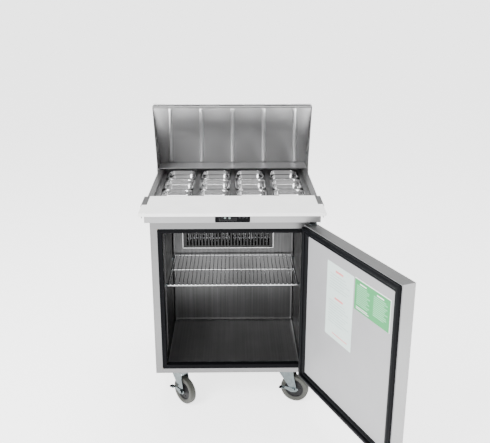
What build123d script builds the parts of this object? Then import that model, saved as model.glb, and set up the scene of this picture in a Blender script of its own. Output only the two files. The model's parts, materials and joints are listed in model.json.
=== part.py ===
"""One-door sandwich prep table: a refrigerated cabinet on casters with a pan top, a cutting board and a hood.

Millimetres. X runs left to right, Y from front to back and Z up. The origin is on the floor, under the
middle of the cabinet's front face.
"""

from build123d import *
from math import cos, radians, sin, tan
import os

os.makedirs("parts", exist_ok=True)

# Driving dimensions
SHEET = 1.2
BODY_HALF = 336.5
BODY_DEPTH = 660
BODY_LOW = 168
BODY_HIGH = 903
BOX_BACK = 500
TOP_HALF = 349.25
TOP_FRONT = -65
TOP_Z = 946
APRON_LOW = 879
OPEN_HALF, OPEN_LOW, OPEN_HIGH = 288.5, 209, 811
RING_HALF, RING_LOW, RING_HIGH = 307.5, 189, 831
CAVITY_BACK = 440
WELL_HALF, WELL_FRONT, WELL_BACK, WELL_LOW = 326, 46, 600, 815
RIM_Z = 930
PAN_PITCH_X, PAN_PITCH_Y = 158, 176
PAN_WIDE, PAN_LONG, PAN_DEEP = 141, 174, 99
PAN_FIRST_Y = 147
BAR_WIDE = 16.6
BOARD_HALF, BOARD_FRONT, BOARD_BACK = 352, -204, 27
BOARD_LOW, BOARD_THICK = 950, 13
SHELF_Z, SHELF_FRONT, SHELF_BACK, SHELF_HALF = 555, 70, 428, 280
HINGE_X, HINGE_Y = 320, -50
DOOR_OPEN = 113
DOOR_LEFT, DOOR_RIGHT, DOOR_LOW, DOOR_HIGH = -325, 330, 182, 866
DOOR_OUT, DOOR_IN = -67, -17
LID_OPEN = 71.7
LID_HALF = 351.5
PIVOT_Y, PIVOT_Z = 543, 1023.4
FOLD_OPEN = 155.8
CASTER_X, CASTER_FRONT_Y, CASTER_REAR_Y = 240, 62, 600
WHEEL_R, WHEEL_WIDE, TRAIL = 62.5, 30, 36
FLOOR = Plane.XY


def slab(plane, xs, ys, zs, mode=Mode.ADD):
    """A block given by its low and high x, y and z on a plane."""
    with BuildSketch(plane.offset(zs[0])) as face:
        with Locations(((xs[0] + xs[1]) / 2, (ys[0] + ys[1]) / 2)):
            Rectangle(xs[1] - xs[0], ys[1] - ys[0])
    extrude(face.sketch, amount=zs[1] - zs[0], mode=mode)


def both_sides(low, high, ys, zs, plane=FLOOR, mode=Mode.ADD):
    """The same block on the left and on the right, from low to high off the middle."""
    slab(plane, (low, high), ys, zs, mode)
    slab(plane, (-high, -low), ys, zs, mode)


def side_profile(plane, points, xs, mode=Mode.ADD):
    """A closed outline seen from the side, extruded across from xs[0] to xs[1]."""
    with BuildSketch(plane.offset(xs[0])) as face:
        with BuildLine():
            Polyline(*points, close=True)
        make_face()
    extrude(face.sketch, amount=xs[1] - xs[0], mode=mode)


def round_bar(plane, at, radius, length, mode=Mode.ADD):
    """A round bar from a plane, along its normal."""
    with BuildSketch(plane) as face:
        with Locations(at):
            Circle(radius)
    extrude(face.sketch, amount=length, mode=mode)


def save(piece, name):
    """Labels a finished piece and writes it."""
    piece.part.label = name
    export_step(piece.part, "parts/" + name + ".step")


# ---------------------------------------------------------------- cabinet

with BuildPart() as outer_shell:
    both_sides(BODY_HALF - SHEET, BODY_HALF, (SHEET, BODY_DEPTH), (BODY_LOW, BODY_HIGH))
    slab(FLOOR, (SHEET - BODY_HALF, BODY_HALF - SHEET), (SHEET, BODY_DEPTH), (BODY_LOW, BODY_LOW + SHEET))
save(outer_shell, "outer_shell")

with BuildPart() as face_frame:
    slab(FLOOR, (-BODY_HALF, BODY_HALF), (0, SHEET), (BODY_LOW, BODY_HIGH))
    slab(FLOOR, (-RING_HALF, RING_HALF), (0, SHEET), (RING_LOW, RING_HIGH), Mode.SUBTRACT)
save(face_frame, "face_frame")

SLEEVE_BACK, SLEEVE_WALL, RING_THICK = 25, 2, 3
with BuildPart() as breaker_strip:
    slab(FLOOR, (-RING_HALF, RING_HALF), (0, RING_THICK), (RING_LOW, RING_HIGH))
    slab(
        FLOOR,
        (-OPEN_HALF - SLEEVE_WALL, OPEN_HALF + SLEEVE_WALL),
        (RING_THICK, SLEEVE_BACK),
        (OPEN_LOW - SLEEVE_WALL, OPEN_HIGH + SLEEVE_WALL),
    )
    slab(FLOOR, (-OPEN_HALF, OPEN_HALF), (0, SLEEVE_BACK), (OPEN_LOW, OPEN_HIGH), Mode.SUBTRACT)
save(breaker_strip, "breaker_strip")

LINER = 1
LINER_HALF = OPEN_HALF + SLEEVE_WALL
LINER_FLOOR = OPEN_LOW - SLEEVE_WALL
with BuildPart() as interior_liner:
    slab(
        FLOOR,
        (-LINER_HALF - LINER, LINER_HALF + LINER),
        (SLEEVE_BACK, CAVITY_BACK + LINER),
        (LINER_FLOOR - LINER, WELL_LOW),
    )
    slab(FLOOR, (-LINER_HALF, LINER_HALF), (SLEEVE_BACK, CAVITY_BACK), (LINER_FLOOR, WELL_LOW), Mode.SUBTRACT)
save(interior_liner, "interior_liner")

HEADER_BACK = WELL_FRONT - 2 * SHEET
with BuildPart() as cabinet_insulation:
    foam_half = BODY_HALF - SHEET
    slab(FLOOR, (-foam_half, foam_half), (SHEET, BOX_BACK), (BODY_LOW + SHEET, WELL_LOW))
    slab(FLOOR, (-foam_half, foam_half), (SHEET, HEADER_BACK), (WELL_LOW, BODY_HIGH))
    slab(
        FLOOR,
        (-LINER_HALF - LINER, LINER_HALF + LINER),
        (SHEET, CAVITY_BACK + LINER),
        (LINER_FLOOR - LINER, WELL_LOW),
        Mode.SUBTRACT,
    )
    slab(FLOOR, (-RING_HALF, RING_HALF), (SHEET, RING_THICK), (RING_LOW, RING_HIGH), Mode.SUBTRACT)
save(cabinet_insulation, "cabinet_insulation")

REAR_HALF = BODY_HALF - SHEET - 0.5
with BuildPart() as rear_panel:
    slab(FLOOR, (-REAR_HALF, REAR_HALF), (BODY_DEPTH - SHEET, BODY_DEPTH), (BODY_LOW + 3, BODY_HIGH - 4))
    with BuildSketch(Plane.XZ.offset(-BODY_DEPTH)):
        with Locations((0, 330)):
            with GridLocations(230, 30, 2, 8):
                SlotOverall(190, 9)
    extrude(amount=2 * SHEET, mode=Mode.SUBTRACT)
save(rear_panel, "rear_panel")

# ---------------------------------------------------------------- pan well and top

with BuildPart() as pan_well:
    slab(
        FLOOR,
        (-WELL_HALF - SHEET, WELL_HALF + SHEET),
        (WELL_FRONT - SHEET, WELL_BACK + SHEET),
        (WELL_LOW, 920),
    )
    slab(
        FLOOR,
        (-WELL_HALF, WELL_HALF),
        (WELL_FRONT, WELL_BACK),
        (WELL_LOW + SHEET, 920),
        Mode.SUBTRACT,
    )
    slab(FLOOR, (-270, 270), (70, 110), (WELL_LOW, WELL_LOW + SHEET), Mode.SUBTRACT)
    slab(FLOOR, (-270, 270), (385, 425), (WELL_LOW, WELL_LOW + SHEET), Mode.SUBTRACT)
save(pan_well, "pan_well")

LEDGE_X, LEDGE_Y = 306, 62
with BuildPart() as top_frame:
    slab(FLOOR, (-TOP_HALF, TOP_HALF), (TOP_FRONT, BODY_DEPTH), (APRON_LOW, TOP_Z))
    slab(
        FLOOR,
        (SHEET - TOP_HALF, TOP_HALF - SHEET),
        (TOP_FRONT + SHEET, BODY_DEPTH - SHEET),
        (APRON_LOW, TOP_Z - SHEET),
        Mode.SUBTRACT,
    )
    slab(FLOOR, (-TOP_HALF, TOP_HALF), (0, BODY_DEPTH), (APRON_LOW, BODY_HIGH), Mode.SUBTRACT)
    both_sides(TOP_HALF - SHEET, TOP_HALF, (0, BODY_DEPTH), (APRON_LOW, BODY_HIGH))
    slab(FLOOR, (-TOP_HALF, TOP_HALF), (TOP_FRONT, -0.4), (APRON_LOW, APRON_LOW + SHEET))
    both_sides(BODY_HALF, TOP_HALF - SHEET, (0, BODY_DEPTH), (BODY_HIGH, BODY_HIGH + SHEET))
    slab(
        FLOOR,
        (-WELL_HALF - SHEET, WELL_HALF + SHEET),
        (WELL_FRONT - SHEET, WELL_BACK + SHEET),
        (920, TOP_Z),
    )
    slab(FLOOR, (-WELL_HALF, WELL_HALF), (WELL_FRONT, WELL_BACK), (920, TOP_Z), Mode.SUBTRACT)
    slab(FLOOR, (-WELL_HALF, WELL_HALF), (WELL_FRONT, WELL_BACK), (RIM_Z - SHEET, RIM_Z))
    slab(
        FLOOR,
        (-LEDGE_X, LEDGE_X),
        (LEDGE_Y, WELL_BACK - 16),
        (RIM_Z - SHEET, RIM_Z),
        Mode.SUBTRACT,
    )
save(top_frame, "top_frame")

with BuildPart() as divider_bars:
    for column in (-1, 0, 1):
        middle = column * PAN_PITCH_X
        half = BAR_WIDE / 2
        slab(FLOOR, (middle - half, middle + half), (WELL_FRONT + 0.5, WELL_BACK - 0.5), (RIM_Z, RIM_Z + 4))
        slab(
            FLOOR,
            (middle - half - 5, middle + half + 5),
            (LEDGE_Y + 0.5, WELL_BACK - 16.5),
            (RIM_Z - 4, RIM_Z),
        )
save(divider_bars, "divider_bars")

PAN_CORNER = 14
PAN_TAPER = 4
PAN_WALL = 0.9
for row, row_name in enumerate(("front", "middle", "rear")):
    with BuildPart() as food_pans:
        row_y = PAN_FIRST_Y + row * PAN_PITCH_Y
        with BuildSketch(Plane.XY.offset(RIM_Z)):
            with Locations((0, row_y)):
                with GridLocations(PAN_PITCH_X, 1, 4, 1):
                    RectangleRounded(PAN_WIDE, PAN_LONG, PAN_CORNER + 6)
        extrude(amount=PAN_WALL)
        with BuildSketch(Plane.XY.offset(RIM_Z)):
            with Locations((0, row_y)):
                with GridLocations(PAN_PITCH_X, 1, 4, 1):
                    RectangleRounded(PAN_WIDE - 26, PAN_LONG - 22, PAN_CORNER)
        extrude(amount=-PAN_DEEP, taper=PAN_TAPER)
        with BuildSketch(Plane.XY.offset(RIM_Z + PAN_WALL)):
            with Locations((0, row_y)):
                with GridLocations(PAN_PITCH_X, 1, 4, 1):
                    RectangleRounded(PAN_WIDE - 28, PAN_LONG - 24, PAN_CORNER - 1)
        extrude(amount=-PAN_DEEP, taper=PAN_TAPER, mode=Mode.SUBTRACT)
    save(food_pans, "food_pans_" + row_name)

# The brackets' lips lie in rebates at the board's ends, below its face, so the board slides under them
BOARD_TOP = BOARD_LOW + BOARD_THICK
BRACKET_Y = (-110, 22)
BRACKET_IN, BRACKET_THICK = BOARD_HALF + 0.6, 1.5
LIP_Y, LIP_WIDE = (-92, 22), 20
LIP_LOW = BOARD_TOP - 0.3 - BRACKET_THICK
REBATE_IN = BRACKET_IN - LIP_WIDE - 1.6
with BuildPart() as cutting_board:
    slab(
        FLOOR,
        (-BOARD_HALF, BOARD_HALF),
        (BOARD_FRONT, BOARD_BACK),
        (BOARD_LOW, BOARD_LOW + BOARD_THICK),
    )
    fillet(cutting_board.edges().filter_by(Axis.Z), 4)
    fillet(cutting_board.edges().filter_by(Plane.XY).group_by(Axis.Z)[-1], 1.5)
    both_sides(
        REBATE_IN,
        BOARD_HALF,
        (LIP_Y[0] - 2, BOARD_BACK),
        (LIP_LOW - 0.8, BOARD_TOP),
        FLOOR,
        Mode.SUBTRACT,
    )
save(cutting_board, "cutting_board")

with BuildPart() as board_pads:
    for pad_x in (-300, -100, 100, 300):
        slab(FLOOR, (pad_x - 20, pad_x + 20), (-60, 22), (TOP_Z, BOARD_LOW))
save(board_pads, "board_pads")

BRACKET_OUT = BRACKET_IN + BRACKET_THICK
with BuildPart() as board_brackets:
    both_sides(BRACKET_IN - LIP_WIDE, BRACKET_IN + 0.5, LIP_Y, (LIP_LOW, LIP_LOW + BRACKET_THICK))
    lip_corners = board_brackets.edges().filter_by(Axis.Z).group_by(Axis.Y)[0]
    fillet(lip_corners.sort_by(Axis.X)[1:3], 10)
    both_sides(BRACKET_IN, BRACKET_OUT, BRACKET_Y, (912, LIP_LOW + BRACKET_THICK))
    both_sides(TOP_HALF, BRACKET_IN, (-60, 18), (912, 942))
save(board_brackets, "board_brackets")

# ---------------------------------------------------------------- controller

PANEL_HALF, PANEL_OUT, PANEL_Z = 69, -71, (882, 925)
BUTTON_XS = (28, 42, 56)
BUTTON_Z, BUTTON_R, BUTTON_HOLE = 903, 4.5, 4.8
with BuildPart() as control_bezel:
    slab(FLOOR, (-PANEL_HALF, PANEL_HALF), (PANEL_OUT, TOP_FRONT), PANEL_Z)
    fillet(control_bezel.edges().filter_by(Axis.Y), 3)
    slab(FLOOR, (-52, 14), (PANEL_OUT, PANEL_OUT + 2), (890, 917), Mode.SUBTRACT)
    for button_x in BUTTON_XS:
        round_bar(Plane.XZ.offset(-TOP_FRONT), (button_x, BUTTON_Z), BUTTON_HOLE, 6, Mode.SUBTRACT)
save(control_bezel, "control_bezel")

with BuildPart() as control_display:
    slab(FLOOR, (-52, 14), (PANEL_OUT + 0.4, PANEL_OUT + 2), (890, 917))
save(control_display, "control_display")

for number, button_x in enumerate(BUTTON_XS, 1):
    with BuildPart() as control_button:
        round_bar(Plane.XZ.offset(-TOP_FRONT + 1.5), (button_x, BUTTON_Z), BUTTON_R, 6)
        fillet(control_button.edges().sort_by(Axis.Y)[0], 0.8)
    save(control_button, "control_button_" + str(number))

# ---------------------------------------------------------------- inside the cabinet

PILASTER_YS = (95, 405)
with BuildPart() as shelf_pilasters:
    for pilaster_y in PILASTER_YS:
        both_sides(LINER_HALF - 2.5, LINER_HALF, (pilaster_y - 9, pilaster_y + 9), (250, 780))
        for side in (-1, 1):
            with BuildSketch(Plane.YZ.offset(side * (LINER_HALF - 1.25))):
                with Locations((pilaster_y, 515)):
                    with GridLocations(1, 25, 1, 19):
                        Rectangle(8, 4)
            extrude(amount=2, both=True, mode=Mode.SUBTRACT)
save(shelf_pilasters, "shelf_pilasters")

CLIP_Z = SHELF_Z - 6
with BuildPart() as shelf_clips:
    for pilaster_y in PILASTER_YS:
        both_sides(LINER_HALF - 14, LINER_HALF - 2.5, (pilaster_y - 6, pilaster_y + 6), (CLIP_Z - 3, CLIP_Z))
        both_sides(LINER_HALF - 4, LINER_HALF - 2.5, (pilaster_y - 6, pilaster_y + 6), (CLIP_Z - 14, CLIP_Z))
save(shelf_clips, "shelf_clips")

WIRE_R, FRAME_R, WIRE_COUNT = 1.7, 3, 31
with BuildPart() as wire_shelf:
    for bar_y, bar_z in (
        (SHELF_FRONT, SHELF_Z - 3),
        ((SHELF_FRONT + SHELF_BACK) / 2, SHELF_Z - 3),
        (SHELF_BACK, SHELF_Z - 3),
    ):
        round_bar(Plane.YZ.offset(-SHELF_HALF), (bar_y, bar_z), FRAME_R, 2 * SHELF_HALF)
    for side in (-1, 1):
        round_bar(
            Plane.XZ.offset(-SHELF_BACK),
            (side * (SHELF_HALF - FRAME_R), SHELF_Z - 3),
            FRAME_R,
            SHELF_BACK - SHELF_FRONT,
        )
    wire_pitch = 2 * (SHELF_HALF - 12) / (WIRE_COUNT - 1)
    with BuildSketch(Plane.XZ.offset(-SHELF_BACK - 2)):
        with Locations((0, SHELF_Z + 0.2)):
            with GridLocations(wire_pitch, 1, WIRE_COUNT, 1):
                Circle(WIRE_R)
    extrude(amount=SHELF_BACK - SHELF_FRONT + 4)
save(wire_shelf, "wire_shelf")

EVAP_X, EVAP_FRONT, EVAP_Z = (-235, 188), 372, (608, 800)
EVAP_MID_X = (EVAP_X[0] + EVAP_X[1]) / 2
with BuildPart() as evaporator_cover:
    slab(FLOOR, EVAP_X, (EVAP_FRONT, CAVITY_BACK), EVAP_Z)
    slab(
        FLOOR,
        (EVAP_X[0] + SHEET, EVAP_X[1] - SHEET),
        (EVAP_FRONT + SHEET, CAVITY_BACK),
        (EVAP_Z[0] + SHEET, EVAP_Z[1] - SHEET),
        Mode.SUBTRACT,
    )
    with BuildSketch(Plane.XZ.offset(-EVAP_FRONT - 5)):
        with Locations((EVAP_MID_X, (EVAP_Z[0] + EVAP_Z[1]) / 2)):
            with GridLocations(15, 1, 26, 1):
                SlotOverall(168, 8, rotation=90)
    extrude(amount=10, mode=Mode.SUBTRACT)
save(evaporator_cover, "evaporator_cover")

FIN_Y = (414, 438)
with BuildPart() as evaporator_coil:
    fin_count = 40
    fin_pitch = 9.6
    for fin in range(fin_count):
        fin_x = EVAP_MID_X + (fin - (fin_count - 1) / 2) * fin_pitch
        slab(FLOOR, (fin_x - 0.3, fin_x + 0.3), FIN_Y, (622, 786))
    for tube_z in (640, 672, 704, 736, 768):
        round_bar(Plane.YZ.offset(EVAP_MID_X - 202), (426, tube_z), 4.5, 404)
save(evaporator_coil, "evaporator_coil")

EVAP_FAN = (EVAP_MID_X, 704)
with BuildPart() as evaporator_motor:
    round_bar(Plane.XZ.offset(-412), EVAP_FAN, 22, 16)
    slab(FLOOR, (EVAP_FAN[0] - 60, EVAP_FAN[0] + 60), (408, 412), (EVAP_FAN[1] - 5, EVAP_FAN[1] + 5))
    round_bar(Plane.XZ.offset(-396), EVAP_FAN, 2.5, 14)
save(evaporator_motor, "evaporator_motor")

BLADE_COUNT = 5


def fan_blades(centre, y_front, hub_r, blade_r, bore_r, depth):
    """A hub with flat pitched blades, on an axis along Y."""
    round_bar(Plane.XZ.offset(-y_front - depth), centre, hub_r, depth)
    for blade in range(BLADE_COUNT):
        turn = radians(blade * 360 / BLADE_COUNT)
        root = (centre[0], y_front + depth / 2, centre[1])
        along = (cos(turn), 0, sin(turn))
        across = Vector(-sin(turn), 0, cos(turn)) * cos(radians(28)) + Vector(0, 1, 0) * sin(radians(28))
        blade_plane = Plane(origin=root, x_dir=along, z_dir=Vector(*along).cross(across))
        with BuildSketch(blade_plane) as face:
            with Locations(((hub_r + blade_r) / 2 - 1, 0)):
                Rectangle(blade_r - hub_r + 2, depth * 1.6)
        extrude(face.sketch, amount=0.6, both=True)
    round_bar(Plane.XZ.offset(-y_front - 2 * depth), centre, bore_r, 3 * depth, Mode.SUBTRACT)


with BuildPart() as evaporator_fan:
    fan_blades(EVAP_FAN, 384, 14, 70, 2.55, 10)
save(evaporator_fan, "evaporator_fan")

# ---------------------------------------------------------------- machine compartment

with BuildPart() as machine_base:
    slab(FLOOR, (-325, 325), (506, 652), (BODY_LOW + SHEET, BODY_LOW + 4))
save(machine_base, "machine_base")

BASE_TOP = BODY_LOW + 4
COMPRESSOR = (170, 580)
FOOT_SPREAD, FOOT_HALF, RUBBER_HIGH = 62, 14, 12
with BuildPart() as compressor:
    for foot_x in (COMPRESSOR[0] - FOOT_SPREAD, COMPRESSOR[0] + FOOT_SPREAD):
        slab(
            FLOOR,
            (foot_x - FOOT_HALF, foot_x + FOOT_HALF),
            (530, 630),
            (BASE_TOP + RUBBER_HIGH, BASE_TOP + RUBBER_HIGH + 3),
        )
        for foot_y in (545, 615):
            round_bar(Plane.XY.offset(BASE_TOP), (foot_x, foot_y), 9, RUBBER_HIGH)
    round_bar(Plane.XY.offset(BASE_TOP + RUBBER_HIGH), COMPRESSOR, 66, 150)
    fillet(compressor.edges().group_by(Axis.Z)[-1], 30)
    round_bar(Plane.XY.offset(BASE_TOP + 150), (COMPRESSOR[0] + 20, COMPRESSOR[1]), 5, 70)
save(compressor, "compressor")

COND_X, COND_Y, COND_Z = (-290, -70), (610, 645), (180, 400)
with BuildPart() as condenser_coil:
    for fin in range(28):
        fin_x = COND_X[0] + 8 + fin * 7.5
        slab(FLOOR, (fin_x - 0.4, fin_x + 0.4), COND_Y, COND_Z)
    for tube_z in range(200, 400, 30):
        round_bar(Plane.YZ.offset(COND_X[0]), (628, tube_z), 5, COND_X[1] - COND_X[0])
    both_z = (BASE_TOP, COND_Z[0])
    slab(FLOOR, (COND_X[0] + 7, COND_X[1] - 9), COND_Y, both_z)
save(condenser_coil, "condenser_coil")

COND_FAN = ((COND_X[0] + COND_X[1]) / 2, 290)
with BuildPart() as condenser_motor:
    round_bar(Plane.XZ.offset(-560), COND_FAN, 32, 44)
    slab(FLOOR, (COND_FAN[0] - 10, COND_FAN[0] + 10), (520, 556), (BASE_TOP, COND_FAN[1] - 20))
    round_bar(Plane.XZ.offset(-588), COND_FAN, 4, 40)
save(condenser_motor, "condenser_motor")

with BuildPart() as condenser_fan:
    fan_blades(COND_FAN, 570, 20, 92, 4.05, 14)
save(condenser_fan, "condenser_fan")

with BuildPart() as cord_gland:
    round_bar(Plane.XZ.offset(-BODY_DEPTH - 14), (-290, 230), 13, 14)
    round_bar(Plane.XZ.offset(-BODY_DEPTH - 14), (-290, 230), 5, 12, Mode.SUBTRACT)
save(cord_gland, "cord_gland")

# ---------------------------------------------------------------- door, standing open

DOOR = Plane(
    origin=(HINGE_X, HINGE_Y, 0),
    x_dir=(cos(radians(DOOR_OPEN)), sin(radians(DOOR_OPEN)), 0),
    z_dir=(0, 0, 1),
)
LEFT, RIGHT = DOOR_LEFT - HINGE_X, DOOR_RIGHT - HINGE_X
OUT, IN = DOOR_OUT - HINGE_Y, DOOR_IN - HINGE_Y
PIN_R = 4
SKIN = 1

with BuildPart() as door_skin:
    slab(DOOR, (LEFT, RIGHT), (OUT, IN), (DOOR_LOW, DOOR_HIGH))
    slab(
        DOOR,
        (LEFT + SKIN, RIGHT - SKIN),
        (OUT + SKIN, IN),
        (DOOR_LOW + SKIN, DOOR_HIGH - SKIN),
        Mode.SUBTRACT,
    )
    round_bar(DOOR.offset(DOOR_LOW - 1), (0, 0), PIN_R + 0.05, DOOR_HIGH - DOOR_LOW + 2, Mode.SUBTRACT)
save(door_skin, "door_skin")

INNER_DEEP = 4
with BuildPart() as door_insulation:
    slab(
        DOOR,
        (LEFT + SKIN, RIGHT - SKIN),
        (OUT + SKIN, IN - INNER_DEEP),
        (DOOR_LOW + SKIN, DOOR_HIGH - SKIN),
    )
    round_bar(DOOR.offset(DOOR_LOW), (0, 0), 8, DOOR_HIGH - DOOR_LOW, Mode.SUBTRACT)
save(door_insulation, "door_insulation")

with BuildPart() as door_inner_panel:
    slab(
        DOOR,
        (LEFT + SKIN, RIGHT - SKIN),
        (IN - INNER_DEEP, IN),
        (DOOR_LOW + SKIN, DOOR_HIGH - SKIN),
    )
save(door_inner_panel, "door_inner_panel")

GASKET_WIDE, GASKET_DEEP, GASKET_EDGE = 34, 16, 4
GASKET_LEFT, GASKET_RIGHT = LEFT + GASKET_EDGE, RIGHT - GASKET_EDGE - 1
GASKET_LOW, GASKET_HIGH = DOOR_LOW + GASKET_EDGE, DOOR_HIGH - GASKET_EDGE
with BuildPart() as door_gasket:
    slab(DOOR, (GASKET_LEFT, GASKET_RIGHT), (IN, IN + GASKET_DEEP), (GASKET_LOW, GASKET_HIGH))
    slab(
        DOOR,
        (GASKET_LEFT + GASKET_WIDE, GASKET_RIGHT - GASKET_WIDE),
        (IN, IN + GASKET_DEEP),
        (GASKET_LOW + GASKET_WIDE, GASKET_HIGH - GASKET_WIDE),
        Mode.SUBTRACT,
    )
save(door_gasket, "door_gasket")

SHEET_PAPER = 0.4
with BuildPart() as notice_sheets:
    slab(DOOR, (-365, -180), (IN, IN + SHEET_PAPER), (482, 786))
    slab(DOOR, (-592, -373), (IN, IN + SHEET_PAPER), (668, 790))
save(notice_sheets, "notice_sheets")

with BuildPart() as door_bushes:
    for low in (DOOR_LOW + SKIN, DOOR_HIGH - SKIN - 24):
        round_bar(DOOR.offset(low), (0, 0), 7.5, 24)
        round_bar(DOOR.offset(low - 1), (0, 0), PIN_R + 0.05, 26, Mode.SUBTRACT)
save(door_bushes, "door_bushes")

PULL_XS, PULL_ZS, PULL_OUT = (LEFT + 24, LEFT + 50), (400, 640), 16
with BuildPart() as door_handle:
    slab(DOOR, PULL_XS, (OUT - 1.5, OUT), PULL_ZS)
    slab(DOOR, (PULL_XS[1] - 2, PULL_XS[1]), (OUT - PULL_OUT, OUT - 1.5), PULL_ZS)
    slab(DOOR, PULL_XS, (OUT - PULL_OUT - 2, OUT - PULL_OUT), PULL_ZS)
save(door_handle, "door_handle")

HINGE_XS = (HINGE_X - 16, HINGE_X + 16)
with BuildPart() as door_hinges:
    for plate_low in (DOOR_HIGH + 1, DOOR_LOW - 6):
        slab(FLOOR, HINGE_XS, (HINGE_Y - 16, -0.2), (plate_low, plate_low + 5))
        fillet(door_hinges.edges().filter_by(Axis.Z).group_by(Axis.Y)[0], 6)
    slab(FLOOR, HINGE_XS, (-5, 0), (DOOR_HIGH + 1, APRON_LOW - 1))
    slab(FLOOR, HINGE_XS, (-5, 0), (BODY_LOW + 1, DOOR_LOW - 1))
    round_bar(Plane.XY.offset(DOOR_HIGH - 20), (HINGE_X, HINGE_Y), PIN_R, 22)
    round_bar(Plane.XY.offset(DOOR_LOW - 2), (HINGE_X, HINGE_Y), PIN_R, 22)
save(door_hinges, "door_hinges")

# ---------------------------------------------------------------- hood, standing open


def lid_plane(y, z, turn):
    """The side view of a lid piece about a point, its shut pose turned back by an angle."""
    angle = radians(turn)
    return Plane(origin=(0, y, z), x_dir=(0, cos(angle), -sin(angle)), z_dir=(1, 0, 0))


HOOD = lid_plane(PIVOT_Y, PIVOT_Z, LID_OPEN)
# Outline of the shut hood from the side, relative to the pivot
HOOD_BACK, HOOD_FOOT = 53, -73.4
HOOD_LONG = 329
HOOD_TIP = HOOD_BACK - HOOD_LONG
TIP_HIGH = 15
CREST = (109, 91)
OUTLINE = [
    (HOOD_TIP, HOOD_FOOT),
    (HOOD_BACK - 8, HOOD_FOOT),
    (HOOD_BACK, HOOD_FOOT + 8),
    CREST,
    (HOOD_TIP, HOOD_FOOT + TIP_HIGH),
]
# The back wall stops short of its foot, so that it swings clear of the rails
FOOT_GAP = [(30, HOOD_FOOT - 5), (75, HOOD_FOOT - 5), (75, -47), (30, -47)]
LID_SHEET = 1.2
FOAM = 9
SLOPE = (CREST[1] - HOOD_FOOT - TIP_HIGH) / (CREST[0] - HOOD_TIP)
WALL_LEAN = (CREST[0] - HOOD_BACK) / (CREST[1] - HOOD_FOOT - 8)


def under_top(depth, x):
    """A point a depth under the hood's sloping top."""
    return (x, HOOD_FOOT + TIP_HIGH - depth * (1 + SLOPE**2) ** 0.5 + SLOPE * (x - HOOD_TIP))


def crest_point(top_depth, wall_depth):
    """Where a line a depth under the top meets a line a depth in from the back wall."""
    foot_x = HOOD_BACK - wall_depth * (1 + WALL_LEAN**2) ** 0.5 - WALL_LEAN * (HOOD_FOOT + 8)
    y = (under_top(top_depth, HOOD_TIP)[1] + SLOPE * (foot_x - HOOD_TIP)) / (1 - SLOPE * WALL_LEAN)
    return (foot_x + WALL_LEAN * y, y)


def slope_layer(near, far, start):
    """The outline of a layer under the top between two depths, from near the tip to the back wall."""
    return [
        under_top(near, start),
        crest_point(near, LID_SHEET),
        crest_point(far, LID_SHEET),
        under_top(far, start),
    ]


with BuildPart() as lid_skin:
    side_profile(HOOD, OUTLINE, (-LID_HALF, LID_HALF))
    wall_foot = HOOD_BACK - LID_SHEET * (1 + WALL_LEAN**2) ** 0.5 - WALL_LEAN * 18
    hollow = [
        (HOOD_TIP + LID_SHEET, HOOD_FOOT - 10),
        (wall_foot, HOOD_FOOT - 10),
        crest_point(LID_SHEET, LID_SHEET),
        under_top(LID_SHEET, HOOD_TIP + LID_SHEET),
    ]
    side_profile(HOOD, hollow, (LID_SHEET - LID_HALF, LID_HALF - LID_SHEET), Mode.SUBTRACT)
    side_profile(HOOD, FOOT_GAP, (LID_SHEET - LID_HALF, LID_HALF - LID_SHEET), Mode.SUBTRACT)
    round_bar(HOOD.offset(-LID_HALF - 1), (0, 0), 6.05, 2 * LID_HALF + 2, Mode.SUBTRACT)
save(lid_skin, "lid_skin")

CORE_HALF = 349.5
CORE_START = HOOD_TIP + 8
FOAM_DEPTH = LID_SHEET + FOAM
PANEL_DEPTH = FOAM_DEPTH + 1
with BuildPart() as lid_insulation:
    side_profile(HOOD, slope_layer(LID_SHEET, FOAM_DEPTH, CORE_START), (-CORE_HALF, CORE_HALF))
save(lid_insulation, "lid_insulation")

RIB_PITCH, RIB_HIGH, RIB_HALF = 148, 5, 8
RIB_START, RIB_END = HOOD_TIP + 26, HOOD_BACK + 18
with BuildPart() as lid_inner_panel:
    side_profile(HOOD, slope_layer(FOAM_DEPTH, PANEL_DEPTH, CORE_START - 1), (-CORE_HALF, CORE_HALF))
    flange = [
        under_top(LID_SHEET, CORE_START - 1),
        under_top(LID_SHEET, CORE_START),
        under_top(PANEL_DEPTH, CORE_START),
        under_top(PANEL_DEPTH, CORE_START - 1),
    ]
    side_profile(HOOD, flange, (-CORE_HALF, CORE_HALF))
    for rib in range(-2, 3):
        rib_x = rib * RIB_PITCH
        rib_outline = [
            under_top(PANEL_DEPTH - 0.5, RIB_START),
            under_top(PANEL_DEPTH - 0.5, RIB_END),
            under_top(PANEL_DEPTH + RIB_HIGH, RIB_END - 8),
            under_top(PANEL_DEPTH + RIB_HIGH, RIB_START + 8),
        ]
        side_profile(HOOD, rib_outline, (rib_x - RIB_HALF, rib_x + RIB_HALF))
save(lid_inner_panel, "lid_inner_panel")

FOLD_LOCAL = (HOOD_TIP - 3.5, HOOD_FOOT + TIP_HIGH + 2.5)
fold_y = PIVOT_Y + FOLD_LOCAL[0] * cos(radians(LID_OPEN)) + FOLD_LOCAL[1] * sin(radians(LID_OPEN))
fold_z = PIVOT_Z - FOLD_LOCAL[0] * sin(radians(LID_OPEN)) + FOLD_LOCAL[1] * cos(radians(LID_OPEN))
print("fold axis", round(fold_y, 3), round(fold_z, 3))
LEAF = lid_plane(fold_y, fold_z, LID_OPEN + FOLD_OPEN)
LEAF_LONG, LEAF_THICK, LEAF_GAP = 196, 12, 2.5
KNUCKLE_R, FOLD_PIN_R = 3.2, 1.6
with BuildPart() as lid_leaf:
    side_profile(
        LEAF,
        [
            (-5, -LEAF_GAP - LEAF_THICK),
            (-5, -LEAF_GAP),
            (-LEAF_LONG, -LEAF_GAP),
            (-LEAF_LONG, -LEAF_GAP - LEAF_THICK),
        ],
        (-LID_HALF, LID_HALF),
    )
save(lid_leaf, "lid_leaf")

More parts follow.
